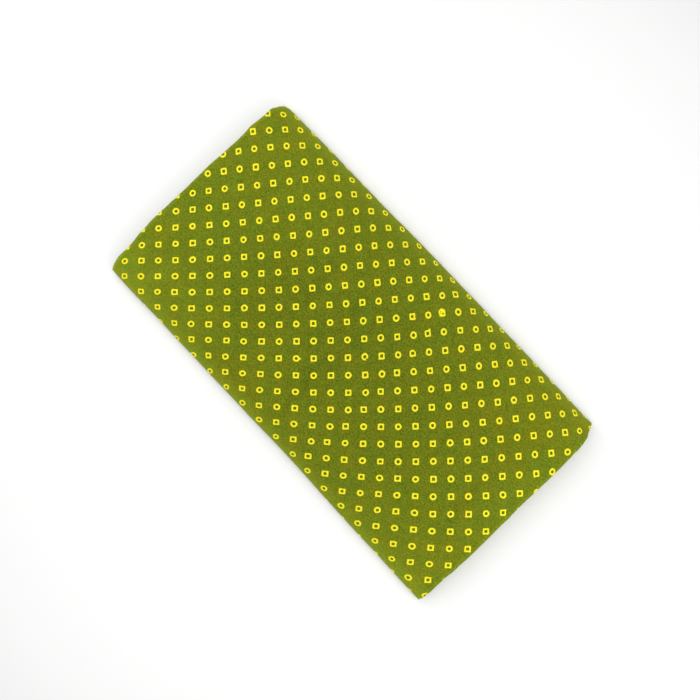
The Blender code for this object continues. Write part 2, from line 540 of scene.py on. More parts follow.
class PrintSettings(bpy.types.PropertyGroup):
    """Sizes and colours of the dyed ground and of the motifs."""

    ground: colour_setting("Ground", "Colour of the dyed cloth", (0.1235, 0.1724, 0.0083))
    brown_ground: colour_setting(
        "Browner ground", "Colour of the cloth where the dye took browner", (0.1397, 0.154, 0.0055)
    )
    ink: colour_setting("Ink", "Colour of the printed motifs", (0.895, 0.805, 0.029))
    square_outer: length_setting("Square, outer", "Half of a square's outer side", 3.10 * MM)
    ring_outer: length_setting("Ring, outer", "Outer radius of a ring", 3.35 * MM)
    square_stroke: length_setting("Square, line", "Width of a square's line", 1.65 * MM)
    ring_stroke: length_setting("Ring, line", "Width of a ring's line", 1.8 * MM)
    bleed: length_setting("Bleed", "Width over which a motif's edge softens into the ground", 0.5 * MM)
    thread_pitch: length_setting(
        "Thread pitch", "Distance between neighbouring threads of the weave", 0.42 * MM
    )


class FraySettings(bpy.types.PropertyGroup):
    """Sizes of the loose threads at the cut ends."""

    density: number_setting("Density", "Threads for each square metre of cut edge", 60000.0)
    shortest: length_setting("Shortest", "Length of the shortest thread", 0.6 * MM)
    longest: length_setting("Longest", "Length of the longest thread", 2.2 * MM)
    radius: length_setting("Radius", "Radius of a thread", 0.07 * MM)
    tilt: number_setting(
        "Tilt",
        "How far a thread may lean from the line of the cloth",
        math.radians(28),
        subtype="ANGLE",
    )


class StageSettings(bpy.types.PropertyGroup):
    """The floor, the lights and the camera."""

    floor_colour: colour_setting("Floor", "Colour of the floor", (0.95, 0.95, 0.945))
    sky_strength: number_setting("Sky strength", "Strength of the even light from all round", 0.52)
    top_power: number_setting(
        "Top light", "Power of the large soft light overhead", 7.0, unit="POWER"
    )
    side_power: number_setting(
        "Side lights", "Power of each of the low soft lights round the bundle", 1.05, unit="POWER"
    )
    lens: number_setting("Lens", "Focal length of the camera, in millimetres on a 36 mm sensor", 69.43)


def round_off(share, roundness):
    """Height left on a rounded shoulder, 1 at its inner end and 0 at its rim."""
    return max(1.0 - share**roundness, 0.0) ** (1.0 / roundness)


def top_height(y):
    """Height of the bundle's top at y, before it is settled."""
    share, roundness = 0.0, SPINE_ROUNDNESS
    if y > CROWN_TO_Y:
        share = min((y - CROWN_TO_Y) / (WIDTH / 2 - CROWN_TO_Y), 1.0)
    elif y < CROWN_FROM_Y:
        share, roundness = min((CROWN_FROM_Y - y) / (WIDTH / 2 + CROWN_FROM_Y), 1.0), EDGE_ROUNDNESS
    return RIM_HEIGHT + (CROWN_HEIGHT - RIM_HEIGHT) * round_off(share, roundness)


def shoulder_places(start_y, rim_y, roundness, segments):
    """Places from the crown out to a rim, closer together towards the rim."""
    places = []
    for step in range(1, segments + 1):
        angle = step / segments * math.pi / 2
        places.append(start_y + (rim_y - start_y) * math.sin(angle) ** (2 / roundness))
    return places


def top_outline(segments):
    """The bundle's top from the spine's rim over the crown to the edge's rim."""
    spine_side = shoulder_places(CROWN_TO_Y, WIDTH / 2, SPINE_ROUNDNESS, segments.shoulder)
    edge_side = shoulder_places(CROWN_FROM_Y, -WIDTH / 2, EDGE_ROUNDNESS, segments.shoulder)
    crown_step = (CROWN_FROM_Y - CROWN_TO_Y) / segments.crown
    crown = [CROWN_TO_Y + crown_step * step for step in range(segments.crown + 1)]
    places = spine_side[::-1] + crown + edge_side
    return [(y, top_height(y)) for y in places]


def bottom_outline(segments):
    """The flat bottom, and the spine's rounding from it up to the rim."""
    flat_to_y = WIDTH / 2 - SPINE_UNDERCUT
    places = [y for y, _ in reversed(top_outline(INNER_SEGMENTS)) if y < flat_to_y - SHORTEST_STEP]
    outline = [(y, 0.0) for y in places]
    for step in range(segments.undercut):
        angle = step / segments.undercut * math.pi / 2
        y = flat_to_y + SPINE_UNDERCUT * math.sin(angle)
        outline.append((y, RIM_HEIGHT * (1.0 - math.cos(angle))))
    return outline


def ply_outline(ply, segments):
    """The bundle's outline as far as one ply follows it, from its lower edge round to its upper edge."""
    lower = [p for p in bottom_outline(segments) if p[0] > ply.lower_edge_y + SHORTEST_STEP]
    upper = [p for p in top_outline(segments) if p[0] > ply.upper_edge_y + SHORTEST_STEP]
    start = (ply.lower_edge_y, 0.0)
    end = (ply.upper_edge_y, top_height(ply.upper_edge_y))
    return [start] + lower + upper + [end]


def drawn_in(point, share):
    """A point of the outline drawn in towards the core, as the nested layers are."""
    reach = WIDTH / 2 - CORE_MARGIN
    core_y = min(max(point[0], -reach), reach)
    core_z = top_height(core_y) / 2
    if point[1] == 0.0 and point[0] < 0.0:
        core_y = point[0]
    return core_y + share * (point[0] - core_y), core_z + share * (point[1] - core_z)


def layer_faces(number, fill):
    """Pairs of outer and inner points along one layer, from its lower to its upper edge."""
    room = (1.0 - CORE_SHARE) / (len(PLIES) - 1 + fill)
    outer = 1.0 - number * room
    inner = outer - fill * room
    outline = ply_outline(PLIES[number], INNER_SEGMENTS if number else SKIN_SEGMENTS)
    return [(drawn_in(p, outer), drawn_in(p, inner)) for p in outline]


def fold_points(before, start, end, after):
    """Inner points of a round turn that carries on from before-start and runs into end-after."""
    reach = math.dist(start, end) * FOLD_HANDLES
    first = between(before, start, 1.0 + reach / math.dist(before, start))
    last = between(after, end, 1.0 + reach / math.dist(after, end))
    points = []
    for step in range(1, FOLD_SEGMENTS):
        t = step / FOLD_SEGMENTS
        weights = ((1 - t) ** 3, 3 * t * (1 - t) ** 2, 3 * t**2 * (1 - t), t**3)
        corners = list(zip(weights, (start, first, last, end)))
        points.append(tuple(sum(w * c[axis] for w, c in corners) for axis in (0, 1)))
    return points


def turned(way, run):
    """way carried on into run by a round fold."""
    if not way:
        return run
    folds = [fold_points(way[-2][s], way[-1][s], run[0][s], run[1][s]) for s in (0, 1)]
    return way + list(zip(*folds)) + run


def layer_way(fill):
    """Both faces of the folded layers across the bundle, from the outer to the innermost end."""
    way = []
    for number in range(len(PLIES)):
        run = layer_faces(number, fill)
        if number % 2 == 1:
            run = [(inner, outer) for outer, inner in reversed(run)]
        way = turned(way, run)
    return way


def doubled_way(cloth):
    """Right side and reverse of the thin sheet, which goes along every layer and comes back inside it."""
    layers = layer_way(cloth.layer_fill)
    there = [(a, between(a, b, cloth.ply_share)) for a, b in layers]
    back = [(b, between(b, a, cloth.ply_share)) for a, b in reversed(layers)]
    return turned(there, back)


def lengths_along(way):
    """Distance along the right side of the sheet at each of its points, with 0 at its outer end."""
    along = [0.0]
    for here, there in zip(way, way[1:]):
        along.append(along[-1] + math.dist(here[0], there[0]))
    return along


def crown_start(way, along):
    """Distance along the sheet at which its outer skin crosses y = 0 on the top."""
    for index, (here, there) in enumerate(zip(way, way[1:])):
        if here[0][0] >= 0.0 > there[0][0] and here[0][1] > CROWN_HEIGHT / 2:
            share = here[0][0] / (here[0][0] - there[0][0])
            return along[index] + share * (along[index + 1] - along[index])
    raise RuntimeError("the sheet's outer skin doesn't cross the middle of the bundle")


def sunk(x, y, cloth):
    """Share of its height by which the bundle has sunk at a place."""
    share = cloth.unevenness * patchy(x / HOLLOW_LENGTH, y / HOLLOW_WIDTH, HOLLOWS_AT)
    for end in ENDS:
        into = max(1.0 - (LENGTH / 2 - end.side * x) / end.reach, 0.0)
        spine_side = smooth(y, BLEND_FROM_Y, BLEND_TO_Y)
        share += (end.edge_sink + (end.spine_sink - end.edge_sink) * spine_side) * into**2
    return share * top_height(y) / CROWN_HEIGHT


def on_line(places, at):
    """The last two values of a table's rows, softly blended between their first values."""
    for here, there in zip(places, places[1:]):
        if at <= there[0]:
            break
    return between(here[1:], there[1:], smooth(at, here[0], there[0]))


def settled(x, y, z, cloth):
    """A point of the evenly folded bundle, moved to where the soft cloth has come to lie."""
    is_right, is_spine = x > 0.0, y > 0.0
    side = 1.0 if is_right else -1.0
    pull = on_line(CUT_LINE, y)[is_right] + CUT_WAVE.height * wander(y / CUT_WAVE.length, side * CUTS_AT)
    pull *= end_nearness(x, CUT_REACH)
    push = on_line(RIM_LINE, x)[is_spine] + RIM_WAVE.height * wander(x / RIM_WAVE.length, RIMS_AT + is_spine)
    rim = (2 * y / WIDTH) ** RIM_POWER
    return Vector((x - side * pull, y + rim * push, z * (1.0 - sunk(x, y, cloth))))


def cut_away(x, y):
    """How much of the cloth is missing at a place near a cut end, where the end lies far in."""
    return end_nearness(x, CUT_REACH) * max(on_line(CUT_LINE, y)[x > 0.0] - DRAWN_IN, 0.0)


def column_places(cloth):
    """Places along the bundle for the mesh's columns, closer together towards the cut ends."""
    left = [-LENGTH / 2 + step for step in END_STEPS]
    length = LENGTH - 2 * END_STEPS[-1]
    steps = round(length / cloth.column_step)
    middle = [left[-1] + length * i / steps for i in range(1, steps)]
    return left + middle + [-x for x in reversed(left)]


def crease_depth(x, y):
    """How deep the outer skin's creases are at a place."""
    x += CREASE_WANDER * wander(x / CREASE_WAVES[0], y / CREASE_WAVES[1], CREASES_AT)
    depth = 0.0
    for crease in CREASES:
        way_x, way_y = crease.to_x - crease.x, crease.to_y - crease.y
        length = math.hypot(way_x, way_y)
        share = ((x - crease.x) * way_x + (y - crease.y) * way_y) / length**2
        beside = ((x - crease.x) * way_y - (y - crease.y) * way_x) / length
        past_end = max(-share, share - 1.0, 0.0) * length
        distance = math.hypot(beside, past_end / CREASE_FADE)
        depth += CREASE_STRENGTH * crease.depth * (1.0 - smooth(distance, 0.0, crease.width))
    return min(depth, DEEPEST_CREASE)


def painted_light(x, along):
    """How much paler painted light makes the cloth towards the bundle's ends and its sides, and painted
    sheen at its rims.
    """
    rim = PAINTED_SHEEN_SPINE if along > 0.0 else PAINTED_SHEEN_EDGE
    paler = -rim.share * smooth(abs(along), *PAST_RIMS)
    for brightening, out in ((PAINTED_LIGHT_ENDS, abs(x)), (PAINTED_LIGHT_SIDES, abs(along)), (rim, abs(along))):
        paler += brightening.share * smooth(out, brightening.start, brightening.end)
    return paler


def nearness(x, along, spot, ragged=0.0):
    """1 in the middle of a patch or pull, dying away to 0 at its reach."""
    distance = math.hypot((x - spot.x) / spot.reach_x, (along - spot.y) / spot.reach_y)
    return 1.0 - smooth(distance + ragged, 0.0, 1.0)


def dye_and_painted_light_at(x, along):
    """How much paler and how much greener the cloth is at a place: its dye's patches, with painted light
    towards the ends, sides and rims and painted shade in the creases.
    """
    paler, greener = painted_light(x, along), 0.0
    if abs(along) > WIDTH:
        return paler, greener
    # Painted shade darkens the cloth in the creases
    paler += PAINTED_CREASE_SHADE * crease_depth(x, along)
    ragged = PATCH_RAGGEDNESS * wander(x / PATCH_WAVE, along / PATCH_WAVE, PATCHES_AT)
    for patch in PATCHES:
        share = nearness(x, along, patch, ragged)
        paler += patch.paler * share
        greener += patch.greener * share
    return paler, greener


def print_place(x, along):
    """Column and row of the print at a place on the cloth. The join's step is left to the material."""
    shares = [nearness(x, along, pull) for pull in PULLS]
    x -= sum(share * pull.shift_x for share, pull in zip(shares, PULLS))
    along -= sum(share * pull.shift_y for share, pull in zip(shares, PULLS))
    along += LAST_DRAW * smooth(-along, *LAST_DRAW_PLACES)
    column, row = 0.0, 0.0
    for _ in range(PRINT_ROUNDS):
        held_row = min(max(row, -OUTERMOST_ROW), OUTERMOST_ROW)
        shift_x = COLUMN_LEAN * held_row + COLUMN_BOW * held_row**2 + COLUMN_CURL * held_row**3
        shift_x += COLUMN_SPREAD * column**3 + COLUMN_SPLAY * column**2 * held_row
        shift_x += COLUMN_DRAW * column * held_row**4
        column = (x - PRINT_FROM_X - shift_x) / COLUMN_PITCH
        shift_along = ROW_LEAN * column + ROW_BOW * column**2 + ROW_CURL * column**3
        shift_along += ROW_FAN * column**2 * held_row + ROW_CUP * column**2 * held_row**2
        row = (along - PRINT_FROM_ALONG - shift_along) / ROW_PITCH
    return column, row


def stop_short(distance, first_fold, x, cloth):
    """How far a hidden ply stops short of a cut end. The outer skin goes all the way."""
    hidden = smooth(distance, first_fold - SHORT_START, first_fold)
    uneven = patchy(distance / SHORT_WAVE, math.copysign(PLIES_AT, x))
    return hidden * cloth.end_raggedness * uneven


def skin_columns(columns, step):
    """The outer skin's columns, with more places between each two of the other columns."""
    places = []
    for start, end in zip(columns, columns[1:]):
        count = max(round((end - start) / step), 1)
        places += [start + (end - start) * i / count for i in range(count)]
    return places + [columns[-1]]


# What a row of the sheet is placed by: the settings, the distances along the sheet to the middle of the
# top and to the first fold, and each vertex's place on the flat cloth
Sheet = namedtuple("Sheet", "cloth middle first_fold places")


def place_row(bm, sheet, point, distance, columns, is_skin):
    """Vertices of one line of the sheet along the bundle, with their places on the flat cloth."""
    row = []
    for x in columns:
        pull = end_nearness(x, SHORT_REACH) * stop_short(distance, sheet.first_fold, x, sheet.cloth)
        place = settled(x - math.copysign(pull, x), *point, sheet.cloth)
        if is_skin:
            place.z -= crease_depth(place.x, place.y)
        vertex = bm.verts.new(place)
        cut = cut_away(x, point[0])
        sheet.places[vertex] = (x - math.copysign(cut, x), sheet.middle - distance)
        row.append(vertex)
    return row


def cut_end_rows(bm, rows, column, places):
    """Rows of vertices across the sheet's thickness at a cut end, where it shows as thinner plies."""
    strips = []
    for right_row, reverse_row in zip(rows[RIGHT_SIDE], rows[REVERSE]):
        right, reverse = right_row[column], reverse_row[column]
        outwards = math.copysign(1.0, right.co.x)
        ridges = []
        for tooth in TEETH:
            place = right.co.lerp(reverse.co, tooth.share)
            place.x += outwards * tooth.reach
            ridge = bm.verts.new(place)
            places[ridge] = places[right]
            ridges.append(ridge)
        strips.append([right] + ridges + [reverse])
    return strips


def add_face(bm, corners, part):
    """A smooth face of one part of the sheet."""
    face = bm.faces.new(corners)
    face.material_index = part
    face.smooth = True


def join_rows(bm, here, there, marks, part):
    """Faces between two rows of vertices. Beside the outer skin's finer row, a face takes in several."""
    if len(here) == len(there):
        for a, b, c, d in zip(here, there, there[1:], here[1:]):
            add_face(bm, (a, b, c, d), part)
        return
    near, far = marks[len(here)], marks[len(there)]
    for a, b, c, d in zip(near, near[1:], far, far[1:]):
        add_face(bm, there[c:d + 1] + here[a:b + 1][::-1], part)


def build_sheet(cloth):
    """The whole sheet as one closed mesh, with the print and the threads laid out on it as UV maps."""
    way = doubled_way(cloth)
    along = lengths_along(way)
    middle = crown_start(way, along)
    sheet = Sheet(cloth, middle, middle + WIDTH / 2, {})
    columns = column_places(cloth)
    fine_columns = skin_columns(columns, cloth.skin_step)
    marks = {
        len(columns): list(range(len(columns))),
        len(fine_columns): [fine_columns.index(x) for x in columns],
    }
    bm = bmesh.new()
    for name in ("paler", "greener"):
        bm.verts.layers.float.new(name)
    rows = {RIGHT_SIDE: [], REVERSE: []}
    for pair, distance in zip(way, along):
        is_skin = abs(distance - middle) < SKIN_REACH
        right_columns = fine_columns if is_skin else columns
        rows[RIGHT_SIDE].append(place_row(bm, sheet, pair[0], distance, right_columns, is_skin))
        rows[REVERSE].append(place_row(bm, sheet, pair[1], distance, columns, False))
    for part, lines in rows.items():
        for here, there in zip(lines, lines[1:]):
            join_rows(bm, here, there, marks, part)
    for line in (0, -1):
        join_rows(bm, rows[RIGHT_SIDE][line], rows[REVERSE][line], marks, CUT_EDGE)
    for column in (0, -1):
        strips = cut_end_rows(bm, rows, column, sheet.places)
        for here, there in zip(strips, strips[1:]):
            join_rows(bm, here, there, marks, CUT_EDGE)
    lay_out(bm, sheet.places)
    bmesh.ops.recalc_face_normals(bm, faces=bm.faces[:])
    mesh = bpy.data.meshes.new(CLOTH_PIECE)
    bm.to_mesh(mesh)
    bm.free()
    mesh.set_sharp_from_angle(angle=SMOOTH_ANGLE)
    return mesh


def lay_out(bm, places):
    """UV maps of the flat cloth, in metres and in the print's columns and rows, and how the dye differs,
    with the painted light and shade.
    """
    threads = bm.loops.layers.uv.new("cloth")
    motifs = bm.loops.layers.uv.new("print")
    paler, greener = (bm.verts.layers.float[name] for name in ("paler", "greener"))
    printed = {vertex: print_place(*place) for vertex, place in places.items()}
    for vertex, place in places.items():
        vertex[paler], vertex[greener] = dye_and_painted_light_at(*place)
    for face in bm.faces:
        for loop in face.loops:
            loop[threads].uv = places[loop.vert]
            loop[motifs].uv = printed[loop.vert]


class Nodes:
    """Adds nodes to a tree, each input being another node's output or a plain value."""

    def __init__(self, tree):
        self.tree = tree

    def add(self, kind, inputs=(), **settings):
        """A new node of one kind, whose inputs are given by name or number."""
        node = self.tree.nodes.new(kind)
        for name, value in settings.items():
            setattr(node, name, value)
        for key, value in dict(inputs).items():
            self.feed(node.inputs[key], value)
        return node

    def feed(self, socket, value):
        """Link an output to a socket, or give the socket a value."""
        if isinstance(value, bpy.types.NodeSocket):
            self.tree.links.new(value, socket)
        else:
            socket.default_value = value

    def math(self, operation, *values):
        return self.add("ShaderNodeMath", enumerate(values), operation=operation).outputs[0]

    def rest(self, share):
        """What is left of 1."""
        return self.math("SUBTRACT", 1.0, share)

    def ramp(self, value, start, end, low=0.0, high=1.0):
        """low where value is at start, high where it is at end, with a soft change between."""
        inputs = enumerate((value, start, end, low, high))
        return self.add("ShaderNodeMapRange", inputs, interpolation_type="SMOOTHSTEP").outputs[0]

    def vector(self, x, y, z=0.0):
        return self.add("ShaderNodeCombineXYZ", {"X": x, "Y": y, "Z": z}).outputs[0]

    def scaled(self, vector, factor):
        inputs = {"Vector": vector, "Scale": factor}
        return self.add("ShaderNodeVectorMath", inputs, operation="SCALE").outputs["Vector"]

    def product(self, vector, other):
        return self.add("ShaderNodeVectorMath", {0: vector, 1: other}, operation="MULTIPLY").outputs[0]

    def split(self, vector):
        return self.add("ShaderNodeSeparateXYZ", {"Vector": vector}).outputs

    def shade(self, inputs):
        """Feed the surface's shader."""
        shader = self.tree.nodes["Principled BSDF"]
        for name, value in inputs.items():
            self.feed(shader.inputs[name], value)

    def mixed(self, share, base, over):
        """The colour base where share is 0, over where it is 1."""
        return self.add("ShaderNodeMix", {0: share, 6: base, 7: over}, data_type="RGBA").outputs[2]

    def chosen(self, share, low, high):
        """The value low where share is 0, high where it is 1."""
        return self.add("ShaderNodeMix", {0: share, 2: low, 3: high}, data_type="FLOAT").outputs[0]

    def attribute(self, name):
        return self.add("ShaderNodeAttribute", attribute_name=name).outputs["Fac"]

    def noise(self, place, size, detail=1.0):
        """Soft noise about 0, its patches about as large as size in metres."""
        inputs = {"Vector": place, "Scale": 1.0 / size, "Detail": detail, "Roughness": 0.5}
        value = self.add("ShaderNodeTexNoise", inputs).outputs["Fac"]
        return self.math("SUBTRACT", value, 0.5)

    def noise_pair(self, place, size):
        """Two soft noises about 0 that differ from each other."""
        inputs = {"Vector": place, "Scale": 1.0 / size, "Detail": 1.0}
        colour = self.add("ShaderNodeTexNoise", inputs).outputs["Color"]
        return [self.math("SUBTRACT", value, 0.5) for value in self.split(colour)[:2]]


def new_material(name):
    """A material, with its nodes to add to."""
    material = bpy.data.materials.new(name)
    material.use_nodes = True
    return material, Nodes(material.node_tree)


def rgba(colour):
    """A colour as a socket takes it."""
    return (*colour, 1.0)


def print_distances(nodes, place, threads):
    """Where a place is along the print's two diagonals, its distances from the nearest motif's middle along
    them, whether that motif is a ring, and three random numbers of the motif's own.
    """
    column, row, _ = nodes.split(place)
    past_join = nodes.math("GREATER_THAN", column, JOIN_COLUMN)
    column = nodes.math("MULTIPLY_ADD", past_join, JOIN_STEP_X / COLUMN_PITCH, column)
    row = nodes.math("MULTIPLY_ADD", past_join, JOIN_STEP_ALONG / ROW_PITCH, row)
    diagonals = [nodes.math("ADD", column, row), nodes.math("SUBTRACT", column, row)]
    nearest = [nodes.math("ROUND", d) for d in diagonals]
    is_ring = nodes.math("PINGPONG", nodes.math("ADD", *nearest), 1.0)
    chance = nodes.add("ShaderNodeTexWhiteNoise", {"Vector": nodes.vector(*nearest)}).outputs["Color"]
    chances = nodes.split(chance)
    shakes = nodes.noise_pair(threads, WOBBLE_SIZE)
    distances = []
    for diagonal, near, shake, luck in zip(diagonals, nearest, shakes, chances):
        off = nodes.math("MULTIPLY", nodes.math("SUBTRACT", diagonal, near), MOTIF_PITCH)
        off = nodes.math("MULTIPLY_ADD", shake, WOBBLE, off)
        distances.append(nodes.math("MULTIPLY_ADD", nodes.math("SUBTRACT", luck, 0.5), MOTIF_SHIFT, off))
    return diagonals, distances, is_ring, chances


def disc(nodes, diagonals, blot, soft):
    """1 inside a blot and 0 outside."""
    offs = []
    middles = (blot.column + blot.row, blot.column - blot.row)
    for diagonal, middle, shift in zip(diagonals, middles, (blot.right, blot.down)):
        off = nodes.math("MULTIPLY_ADD", diagonal, MOTIF_PITCH, -middle * MOTIF_PITCH - shift)
        offs.append(nodes.math("ABSOLUTE", off))
    distance = rounded_distance(nodes, offs, blot.squareness)
    return nodes.ramp(distance, blot.radius - soft, blot.radius + soft, 1.0, 0.0)


def rounded_distance(nodes, offs, power):
    """Distance from a middle: a circle's with power 2, and the more a square's the higher power is."""
    powers = [nodes.math("POWER", nodes.math("DIVIDE", off, MM), power) for off in offs]
    return nodes.math("MULTIPLY", nodes.math("POWER", nodes.math("ADD", *powers), 1.0 / power), MM)


def motif_masks(nodes, place, threads, look):
    """Where ink lies, where a motif's hole is and where its halo is, each from 0 to 1."""
    diagonals, distances, is_ring, chances = print_distances(nodes, place, threads)
    offs = [nodes.math("ABSOLUTE", d) for d in distances]
    square = rounded_distance(nodes, offs, SQUARENESS)
    ring = rounded_distance(nodes, offs, 2.0)
    distance = nodes.chosen(is_ring, square, ring)
    outer = nodes.chosen(is_ring, look.square_outer, look.ring_outer)
    size = nodes.ramp(chances[2], 0.0, 1.0, SMALLEST_MOTIF, LARGEST_MOTIF)
    outer = nodes.math("MULTIPLY", outer, size)
    past_outer = nodes.math("SUBTRACT", distance, outer)
    past_inner = nodes.math("ADD", past_outer, nodes.chosen(is_ring, look.square_stroke, look.ring_stroke))
    soft = look.bleed / 2
    inside = nodes.ramp(past_outer, -soft, soft, 1.0, 0.0)
    solid = nodes.ramp(past_inner, -soft, soft, 0.0, 1.0)
    ink = nodes.math("MULTIPLY", inside, solid)
    for blot in BLOTS:
        mark = disc(nodes, diagonals, blot, soft)
        if blot.inked:
            ink = nodes.math("MAXIMUM", ink, mark)
        else:
            ink = nodes.math("MULTIPLY", ink, nodes.rest(mark))
    hole = nodes.math("MULTIPLY", nodes.rest(solid), nodes.rest(ink))
    halo = nodes.ramp(past_outer, soft, HALO_WIDTH, 1.0, 0.0)
    return ink, hole, halo


def dyed_ground_and_painted_light(nodes, threads, look):
    """The ground's colour, uneven as hand dyeing leaves it, with the light and shade painted into the
    vertices' paler values, and the fine grain in it from its threads.
    """
    # The paler values carry painted light towards the ends, sides and rims and painted shade in the creases,
    # besides the dye's patches
    value = nodes.math("ADD", nodes.attribute("paler"), 1.0)
    fields = []
    for dye in (CLOUDS, MOTTLE, GRAIN):
        fields.append(nodes.noise(threads, dye.size, dye.detail))
        value = nodes.math("MULTIPLY_ADD", fields[-1], dye.strength, value)
    clouds, _, grain = fields
    hues = nodes.noise(nodes.scaled(threads, -1.0), HUES.size, HUES.detail)
    tone = nodes.math("MULTIPLY_ADD", hues, HUES.strength, clouds)
    tone = nodes.math("MULTIPLY_ADD", nodes.attribute("greener"), GREENER_SHIFT, tone)
    colour = nodes.mixed(nodes.ramp(tone, -HUE_SPAN, HUE_SPAN), rgba(look.ground), rgba(look.brown_ground))
    return nodes.scaled(colour, value), grain


def near_cut(nodes, threads):
    """1 at a cut end, dying away over the last few millimetres before it, where a highlight is painted."""
    from_middle = nodes.math("ABSOLUTE", nodes.split(threads)[0])
    return nodes.ramp(from_middle, LENGTH / 2 - PAINTED_CUT_HIGHLIGHT_WIDTH, LENGTH / 2, 0.0, 1.0)


def weave_height(nodes, threads, look):
    """Height of a plain weave, with threads that go over and under each other and some that are thicker."""
    waves = []
    for value in nodes.split(threads)[:2]:
        waves.append(nodes.math("SINE", nodes.math("MULTIPLY", value, math.pi / look.thread_pitch)))
    height = nodes.math("MULTIPLY", *waves)
    for shrink in ((1.0, 1.0 / SLUB_STRETCH, 1.0), (1.0 / SLUB_STRETCH, 1.0, 1.0)):
        slubs = nodes.noise(nodes.product(threads, shrink), SLUB_SIZE)
        height = nodes.math("MULTIPLY_ADD", slubs, SLUB_HEIGHT, height)
    return height


def printed_colour(nodes, ground, grain, threads, look, masks):
    """The right side: grainy ink on the ground, with a darker hole in each motif and a soft dark outline."""
    ink, hole, halo = masks
    # A painted highlight makes the cloth paler just before each cut end
    paler = nodes.math("MULTIPLY_ADD", near_cut(nodes, threads), PAINTED_CUT_HIGHLIGHT, 1.0)
    colour = nodes.scaled(ground, paler)
    colour = nodes.mixed(halo, colour, nodes.product(colour, HALO_TINT))
    colour = nodes.mixed(hole, colour, nodes.product(ground, HOLE_TINT))
    printed = nodes.scaled(tuple(look.ink), nodes.math("MULTIPLY_ADD", grain, INK_GRAIN, 1.0))
    return nodes.mixed(ink, colour, printed)


def cloth_material(side, look):
    """The cotton on one side of the sheet. The print shows only faintly on all but the right side."""
    material, nodes = new_material(side.name)
    threads = nodes.add("ShaderNodeUVMap", uv_map="cloth").outputs["UV"]
    place = nodes.add("ShaderNodeUVMap", uv_map="print").outputs["UV"]
    ground, grain = dyed_ground_and_painted_light(nodes, threads, look)
    masks = motif_masks(nodes, place, threads, look)
    if side.ink is None:
        colour = printed_colour(nodes, ground, grain, threads, look, masks)
    else:
        faint = nodes.math("MULTIPLY", masks[0], side.ink)
        colour = nodes.mixed(faint, nodes.scaled(ground, side.ground), rgba(look.ink))
    relief = {
        "Height": weave_height(nodes, threads, look),
        "Strength": RELIEF_STRENGTH,
        "Distance": RELIEF_HEIGHT,
    }
    nodes.shade({
        "Base Color": colour,
        "Roughness": nodes.math("MULTIPLY_ADD", grain, GRAIN_ROUGHNESS, ROUGHNESS),
        "Specular IOR Level": SPECULAR,
        "Sheen Weight": SHEEN,
        "Sheen Roughness": SHEEN_ROUGHNESS,
        "Sheen Tint": SHEEN_TINT,
        "Normal": nodes.add("ShaderNodeBump", relief).outputs["Normal"],
    })
    return material


def show(mesh, name):
    """A mesh as an object of the scene."""
    piece = bpy.data.objects.new(name, mesh)
    bpy.context.collection.objects.link(piece)
    return piece


def is_inside(face):
    """Whether a face lies well inside the two cut ends, as the narrow ends of the sheet do."""
    return abs(face.calc_center_median().x) < LENGTH / 2 - CUT_REACH


def cut_end_strips(mesh):
    """The cut ends' faces alone, as a mesh to grow loose threads from."""
    bm = bmesh.new()
    bm.from_mesh(mesh)
    others = [f for f in bm.faces if f.material_index != CUT_EDGE or is_inside(f)]
    bmesh.ops.delete(bm, geom=others, context="FACES")
    strips = bpy.data.meshes.new("cut_ends")
    bm.to_mesh(strips)
    bm.free()
    return strips


def bent_thread(nodes, radius):
    """One thread, one metre long and slightly bent, to be scaled to its length."""
    line = nodes.add("GeometryNodeCurvePrimitiveLine", {"End": (0.0, 0.0, 1.0)}).outputs["Curve"]
    inputs = {"Curve": line, "Count": THREAD_POINTS}
    line = nodes.add("GeometryNodeResampleCurve", inputs).outputs["Curve"]
    along = nodes.add("GeometryNodeSplineParameter").outputs["Factor"]
    bend = nodes.math("MULTIPLY", nodes.math("POWER", along, 2.0), THREAD_BEND)
    bent = nodes.add("GeometryNodeSetPosition", {"Geometry": line, "Offset": nodes.vector(bend, 0.0)})
    ring = nodes.add("GeometryNodeCurvePrimitiveCircle", {"Resolution": THREAD_SIDES, "Radius": radius})
    return nodes.add("GeometryNodeCurveToMesh", {
        "Curve": bent.outputs["Geometry"],
        "Profile Curve": ring.outputs["Curve"],
        "Fill Caps": True,
    }).outputs["Mesh"]


